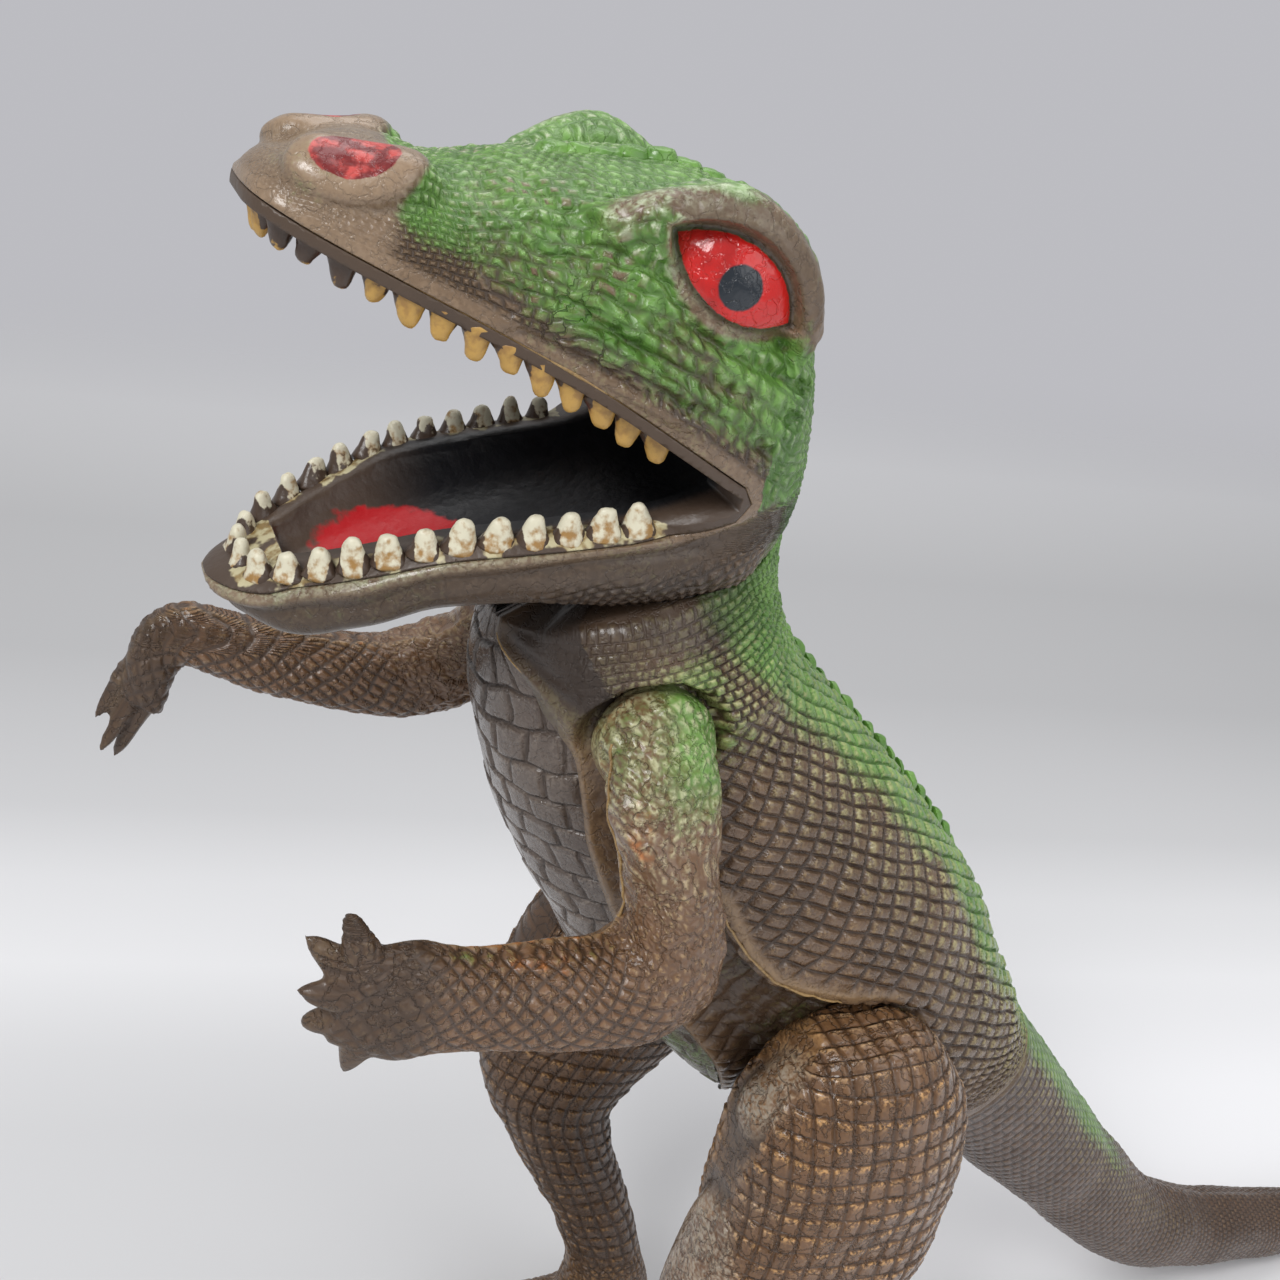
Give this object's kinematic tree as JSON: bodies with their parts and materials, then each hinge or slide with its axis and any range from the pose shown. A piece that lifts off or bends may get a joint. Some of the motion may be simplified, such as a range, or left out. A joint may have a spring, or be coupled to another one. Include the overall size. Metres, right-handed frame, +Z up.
{
  "type": "toy dinosaur figure",
  "caption": "Hollow soft-plastic toy theropod standing upright with its tail behind, mouth wide open with teeth; turns at neck, shoulders, hips and tail.",
  "frame": {"origin": "centre of the bounding box on the floor that the soles stand on", "axes": "+Z up, -Y towards the snout, +Y towards the tail tip, +X the figure's left side"},
  "size_m": [0.122, 0.4212, 0.3165],
  "materials": {
    "body_skin": "semi-gloss brown vinyl, scaled, with green sprayed over back and shoulders",
    "head_skin": "semi-gloss vinyl sprayed green over brown, worn lips",
    "mouth": "satin dark brown liner, cream teeth, red tongue patch",
    "inner_plug": "plain dark plastic"
  },
  "bodies": {
    "torso": {"torso_left_shell": "body_skin", "torso_right_shell": "body_skin", "belly_shell": "body_skin"},
    "head": {"head_left_shell": "head_skin", "head_right_shell": "head_skin", "mouth_liner": "mouth", "neck_plug": "inner_plug"},
    "left_arm": {"left_arm_outer_half": "body_skin", "left_arm_inner_half": "body_skin", "left_shoulder_plug": "inner_plug"},
    "right_arm": {"right_arm_outer_half": "body_skin", "right_arm_inner_half": "body_skin", "right_shoulder_plug": "inner_plug"},
    "left_leg": {"left_leg_outer_half": "body_skin", "left_leg_inner_half": "body_skin", "left_hip_plug": "inner_plug"},
    "right_leg": {"right_leg_outer_half": "body_skin", "right_leg_inner_half": "body_skin", "right_hip_plug": "inner_plug"},
    "tail": {"tail_left_half": "body_skin", "tail_right_half": "body_skin", "tail_plug": "inner_plug"}
  },
  "joints": [
    {"name": "neck_turn", "type": "hinge", "parent": "torso", "child": "head", "pos_m": [-0.00134, -0.12162, 0.246], "axis": [0, -0.362, 0.9322], "range_deg": [-25, 25]},
    {"name": "left_shoulder_swing", "type": "hinge", "parent": "torso", "child": "left_arm", "pos_m": [0.02616, -0.12337, 0.222], "axis": [1, 0, 0], "range_deg": [-50, 6]},
    {"name": "right_shoulder_swing", "type": "hinge", "parent": "torso", "child": "right_arm", "pos_m": [-0.02884, -0.12337, 0.222], "axis": [1, 0, 0], "range_deg": [-38, 25]},
    {"name": "left_hip_swing", "type": "hinge", "parent": "torso", "child": "left_leg", "pos_m": [0.02466, -0.07237, 0.132], "axis": [1, 0, 0], "range_deg": [-18, 18]},
    {"name": "right_hip_swing", "type": "hinge", "parent": "torso", "child": "right_leg", "pos_m": [-0.02734, -0.07237, 0.132], "axis": [1, 0, 0], "range_deg": [-18, 18]},
    {"name": "tail_turn", "type": "hinge", "parent": "torso", "child": "tail", "pos_m": [-0.00134, -0.01487, 0.1115], "axis": [0, 0.6278, -0.7784], "range_deg": [-20, 20]}
  ]
}
